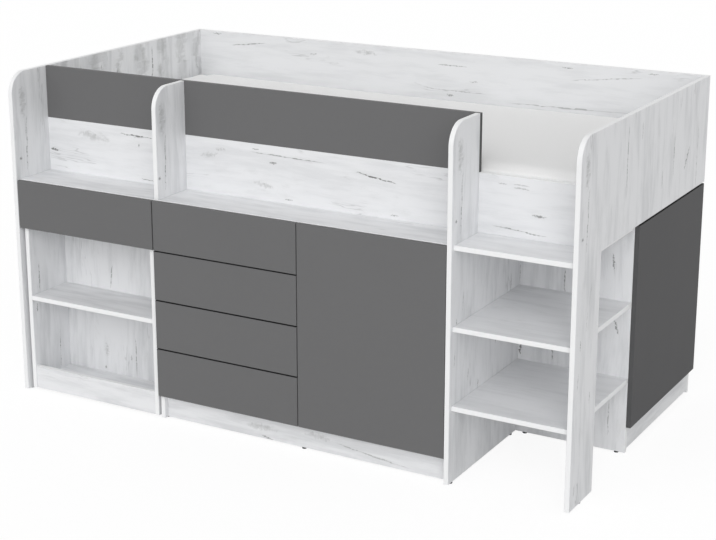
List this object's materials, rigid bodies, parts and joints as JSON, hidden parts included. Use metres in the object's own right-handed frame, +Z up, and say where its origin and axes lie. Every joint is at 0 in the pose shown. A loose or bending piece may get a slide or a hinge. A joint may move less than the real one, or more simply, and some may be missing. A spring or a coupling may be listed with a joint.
{
  "type": "bunk bed with desk",
  "caption": "Mid-sleeper bunk bed in pale wood-grain board with grey fronts, a pull-out desk on castors, drawers, a cupboard, steps and an end cupboard.",
  "frame": {"origin": "on the floor, under the centre of the bed's plan", "axes": "+X along the bed towards the steps, +Y from the front to the wall side, +Z up"},
  "size_m": [2.04, 1.11, 1.117],
  "materials": {
    "pale_wood_board": "matt melamine with a whitish oak grain",
    "graphite_board": "plain matt melamine",
    "white_backing": "smooth white hardboard",
    "pine": "planed",
    "mattress_cover": "knitted cover",
    "black_plastic": "moulded",
    "nickel_steel": "nickel plated"
  },
  "bodies": {
    "bed": {"left_end_panel": "pale_wood_board", "right_end_panel": "pale_wood_board", "step_panel": "pale_wood_board", "short_upright": "pale_wood_board", "desk_bay_panel": "pale_wood_board", "cupboard_divider": "pale_wood_board", "front_rail": "pale_wood_board", "guard_rail": "graphite_board", "back_board": "pale_wood_board", "ledge_board": "pale_wood_board", "tread_top": "pale_wood_board", "tread_middle": "pale_wood_board", "tread_low": "pale_wood_board", "cabinet_plinth": "pale_wood_board", "drawer_bay_floor": "pale_wood_board", "cupboard_floor": "pale_wood_board", "cupboard_shelf": "pale_wood_board", "cabinet_back": "white_backing", "end_cupboard_front": "pale_wood_board", "end_cupboard_rear": "pale_wood_board", "end_cupboard_wall": "pale_wood_board", "end_cupboard_top": "pale_wood_board", "end_cupboard_floor": "pale_wood_board", "end_cupboard_plinth": "pale_wood_board", "end_cupboard_shelf_1": "pale_wood_board", "end_cupboard_shelf_2": "pale_wood_board", "slatted_base": "pine", "mattress": "mattress_cover", "cupboard_hinge_lower": "nickel_steel", "cupboard_hinge_upper": "nickel_steel", "end_cupboard_hinge_lower": "nickel_steel", "end_cupboard_hinge_upper": "nickel_steel"},
    "desk": {"desk_top": "pale_wood_board", "desk_left_side": "pale_wood_board", "desk_right_side": "pale_wood_board", "desk_back": "pale_wood_board", "desk_shelf": "pale_wood_board", "desk_floor": "pale_wood_board", "desk_plinth": "pale_wood_board", "desk_fascia": "graphite_board", "desk_rear_leg": "pale_wood_board", "desk_stretcher": "pale_wood_board", "castor_front_left_bracket": "nickel_steel", "castor_front_right_bracket": "nickel_steel", "castor_rear_left_bracket": "nickel_steel", "castor_rear_right_bracket": "nickel_steel"},
    "wheel_front_left": {"castor_front_left_wheel": "black_plastic"},
    "wheel_front_right": {"castor_front_right_wheel": "black_plastic"},
    "wheel_rear_left": {"castor_rear_left_wheel": "black_plastic"},
    "wheel_rear_right": {"castor_rear_right_wheel": "black_plastic"},
    "drawer_1": {"drawer_1_front": "graphite_board", "drawer_1_box": "pale_wood_board"},
    "drawer_2": {"drawer_2_front": "graphite_board", "drawer_2_box": "pale_wood_board"},
    "drawer_3": {"drawer_3_front": "graphite_board", "drawer_3_box": "pale_wood_board"},
    "drawer_4": {"drawer_4_front": "graphite_board", "drawer_4_box": "pale_wood_board"},
    "cupboard_door": {"cupboard_door": "graphite_board"},
    "end_cupboard_door": {"end_cupboard_door": "graphite_board"}
  },
  "joints": [
    {"name": "desk_pull", "type": "slide", "parent": "bed", "child": "desk", "axis": [0, -1, 0], "range_m": [0, 0.9]},
    {"name": "wheel_front_left_spin", "type": "hinge", "parent": "desk", "child": "wheel_front_left", "pos_m": [-0.94475, -0.311, 0.022], "axis": [1, 0, 0], "continuous": true},
    {"name": "wheel_front_right_spin", "type": "hinge", "parent": "desk", "child": "wheel_front_right", "pos_m": [-0.50475, -0.311, 0.022], "axis": [1, 0, 0], "continuous": true},
    {"name": "wheel_rear_left_spin", "type": "hinge", "parent": "desk", "child": "wheel_rear_left", "pos_m": [-0.94475, 0.482, 0.022], "axis": [1, 0, 0], "continuous": true},
    {"name": "wheel_rear_right_spin", "type": "hinge", "parent": "desk", "child": "wheel_rear_right", "pos_m": [-0.50475, 0.482, 0.022], "axis": [1, 0, 0], "continuous": true},
    {"name": "drawer_1_slide", "type": "slide", "parent": "bed", "child": "drawer_1", "axis": [0, -1, 0], "range_m": [0, 0.3]},
    {"name": "drawer_2_slide", "type": "slide", "parent": "bed", "child": "drawer_2", "axis": [0, -1, 0], "range_m": [0, 0.3]},
    {"name": "drawer_3_slide", "type": "slide", "parent": "bed", "child": "drawer_3", "axis": [0, -1, 0], "range_m": [0, 0.3]},
    {"name": "drawer_4_slide", "type": "slide", "parent": "bed", "child": "drawer_4", "axis": [0, -1, 0], "range_m": [0, 0.3]},
    {"name": "cupboard_door_hinge", "type": "hinge", "parent": "bed", "child": "cupboard_door", "pos_m": [0.61, -0.555, 0.42], "axis": [0, 0, 1], "range_deg": [0, 100]},
    {"name": "end_cupboard_door_hinge", "type": "hinge", "parent": "bed", "child": "end_cupboard_door", "pos_m": [1.02, 0.5535, 0.42], "axis": [0, 0, 1], "range_deg": [0, 90]}
  ],
  "couplings": [
    {"joint": "wheel_front_left_spin", "follows": "desk_pull", "rad_per_m": 45.455},
    {"joint": "wheel_front_right_spin", "follows": "desk_pull", "rad_per_m": 45.455},
    {"joint": "wheel_rear_left_spin", "follows": "desk_pull", "rad_per_m": 45.455},
    {"joint": "wheel_rear_right_spin", "follows": "desk_pull", "rad_per_m": 45.455}
  ]
}
